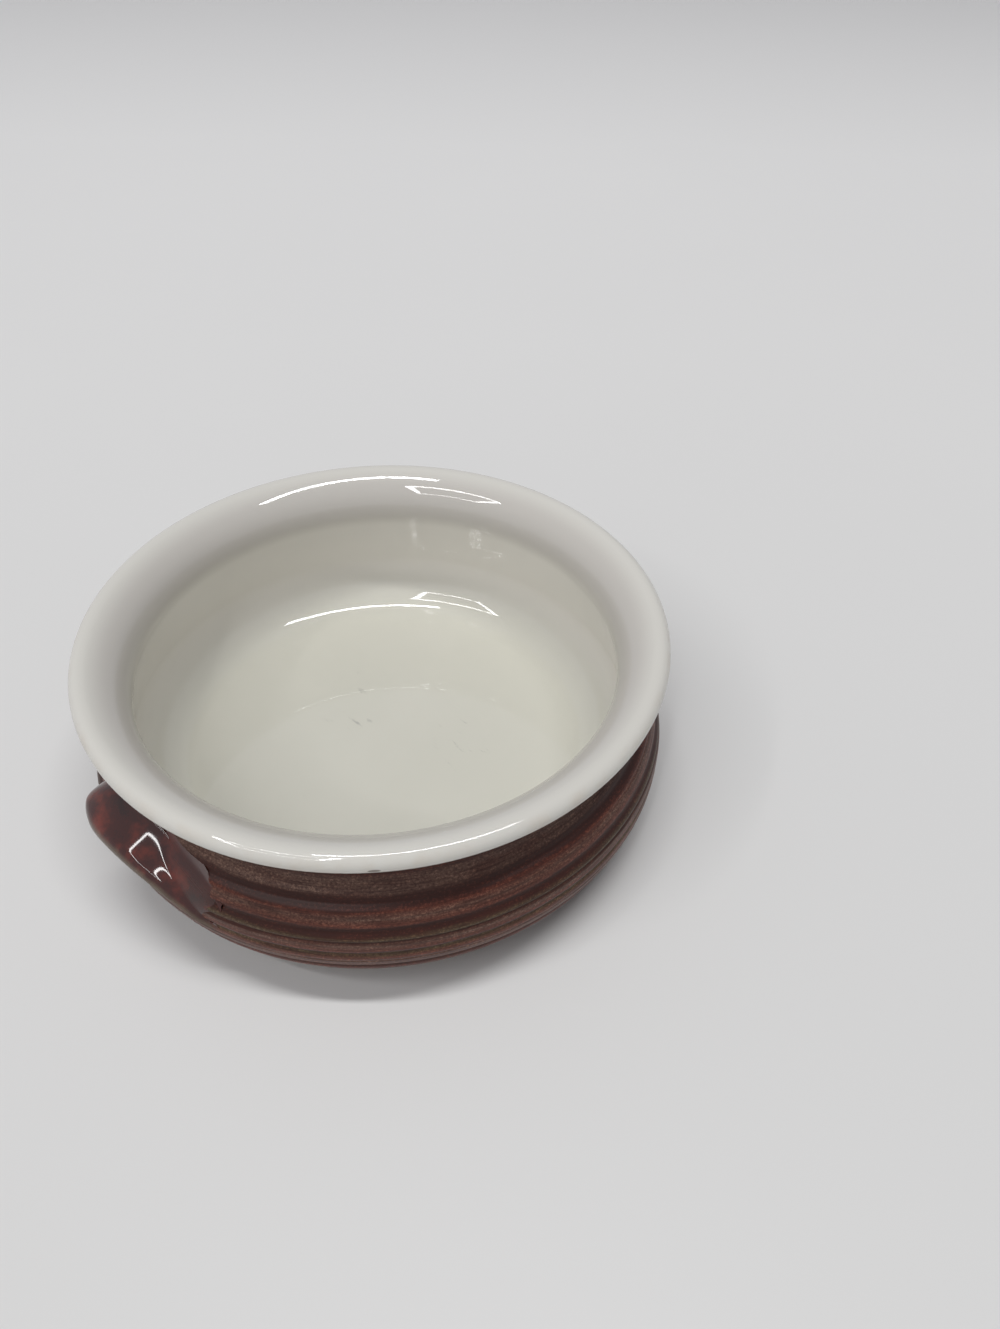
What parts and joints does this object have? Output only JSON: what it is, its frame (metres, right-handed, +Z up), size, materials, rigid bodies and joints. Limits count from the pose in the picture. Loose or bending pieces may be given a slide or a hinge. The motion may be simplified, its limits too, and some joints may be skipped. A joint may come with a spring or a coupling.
{
  "type": "lug soup bowl",
  "caption": "Stoneware soup bowl with a flared white lip, a ribbed red-brown belly, a foot ring and scooped lugs on its sides to hold it by.",
  "frame": {"origin": "on the table, under the bowl's axis, at the centre of the foot ring", "axes": "+Z up along the bowl's axis, the lugs on the X axis, the right lug on +X"},
  "size_m": [0.1504, 0.1418, 0.052],
  "materials": {
    "clay": "bare fired stoneware, matt and finely grogged",
    "slip": "fired joining slip, matt",
    "white_glaze": "glossy off-white glaze",
    "brown_glaze": "glossy red-brown glaze, speckled and banded with the ribs",
    "red_glaze": "glossy deep red glaze, olive where it thins over the edge"
  },
  "bodies": {
    "root": {"stoneware_body": "clay", "white_liner_glaze": "white_glaze", "brown_wall_glaze": "brown_glaze", "left_lug": "clay", "left_lug_slip": "slip", "left_lug_glaze": "red_glaze", "right_lug": "clay", "right_lug_slip": "slip", "right_lug_glaze": "red_glaze"}
  },
  "joints": []
}
